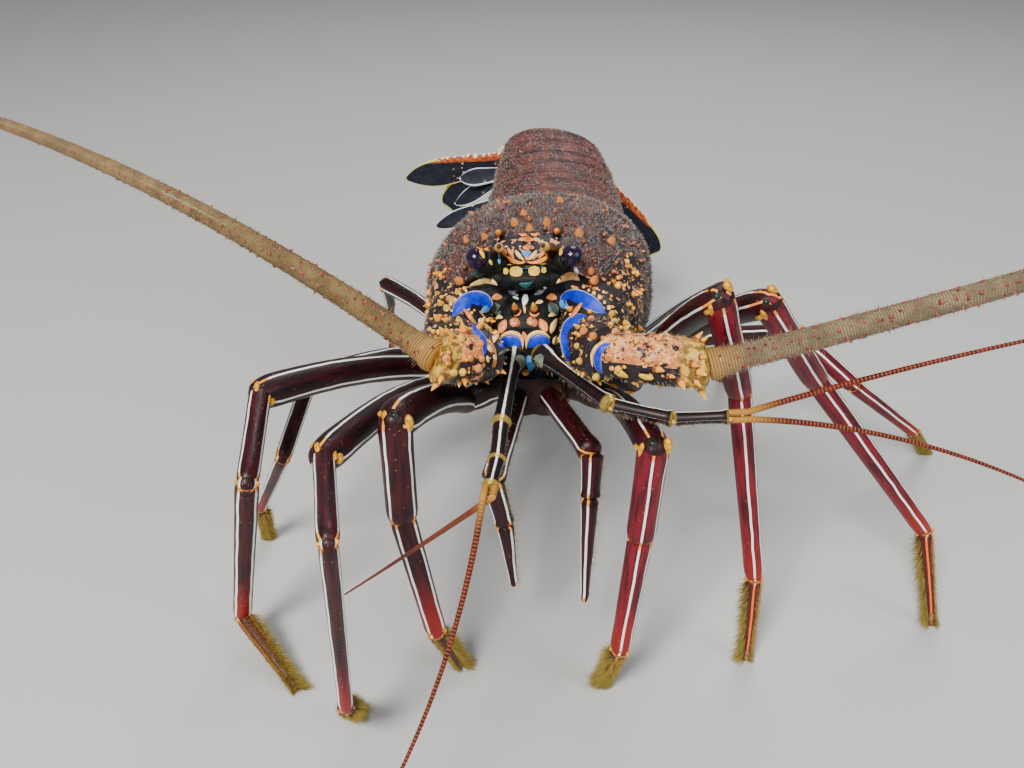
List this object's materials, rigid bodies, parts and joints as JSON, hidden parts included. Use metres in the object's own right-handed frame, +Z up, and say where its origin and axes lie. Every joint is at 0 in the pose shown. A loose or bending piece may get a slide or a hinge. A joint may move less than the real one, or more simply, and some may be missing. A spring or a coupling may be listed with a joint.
{
  "type": "spiny lobster",
  "caption": "Life-size spiny lobster standing on its walking legs, with a spiny carapace, long thick antennae, arched abdomen and down-curled tail fan.",
  "frame": {"origin": "on the floor under the middle of the whole animal's bounding box", "axes": "+Z up, head and camera side towards -Y, the animal's own left towards +X; the antennae spread along X"},
  "size_m": [0.8732, 0.4532, 0.2798],
  "materials": {
    "shell": "rough red-brown shell under a thin grey fuzz, with orange and pink spines",
    "belly": "plain brown underside shell",
    "face": "black shell with cream, yellow, salmon and blue patches",
    "eye": "glossy dark violet",
    "peduncle": "salmon and black mottled shell with cream and orange spines",
    "flagellum": "olive-tan ringed shell with rows of small spines",
    "feeler": "red-brown with orange rings and a pale stripe",
    "leg": "dark maroon with pale lengthwise stripes and yellow joints",
    "fan": "blue-black with pale and yellow rims"
  },
  "bodies": {
    "root": {"carapace": "shell", "sternum": "belly", "antennular_plate": "face", "eyestalk_left": "face", "eyestalk_right": "face", "eye_left": "eye", "eye_right": "eye", "antenna_left_base": "peduncle", "antenna_left_middle": "peduncle", "antenna_left_end": "peduncle", "antenna_left_flagellum_inner": "flagellum", "antenna_left_flagellum_middle": "flagellum", "antenna_left_flagellum_outer": "flagellum", "antenna_right_base": "peduncle", "antenna_right_middle": "peduncle", "antenna_right_end": "peduncle", "antenna_right_flagellum_inner": "flagellum", "antenna_right_flagellum_middle": "flagellum", "antenna_right_flagellum_outer": "flagellum", "antennule_left_peduncle": "feeler", "antennule_left_outer": "feeler", "antennule_left_inner": "feeler", "antennule_right_peduncle": "feeler", "antennule_right_outer": "feeler", "antennule_right_inner": "feeler", "maxilliped_left": "leg", "maxilliped_right": "leg", "leg_left_1_upper": "leg", "leg_left_1_lower": "leg", "leg_left_2_upper": "leg", "leg_left_2_lower": "leg", "leg_left_3_upper": "leg", "leg_left_3_lower": "leg", "leg_left_4_upper": "leg", "leg_left_4_lower": "leg", "leg_left_5_upper": "leg", "leg_left_5_lower": "leg", "leg_right_1_upper": "leg", "leg_right_1_lower": "leg", "leg_right_2_upper": "leg", "leg_right_2_lower": "leg", "leg_right_3_upper": "leg", "leg_right_3_lower": "leg", "leg_right_4_upper": "leg", "leg_right_4_lower": "leg", "leg_right_5_upper": "leg", "leg_right_5_lower": "leg", "abdomen_1": "shell", "abdomen_2": "shell", "abdomen_3": "shell", "abdomen_4": "shell", "abdomen_5": "shell", "abdomen_6": "shell", "telson": "fan", "uropod_left": "fan", "uropod_right": "fan"}
  },
  "joints": []
}
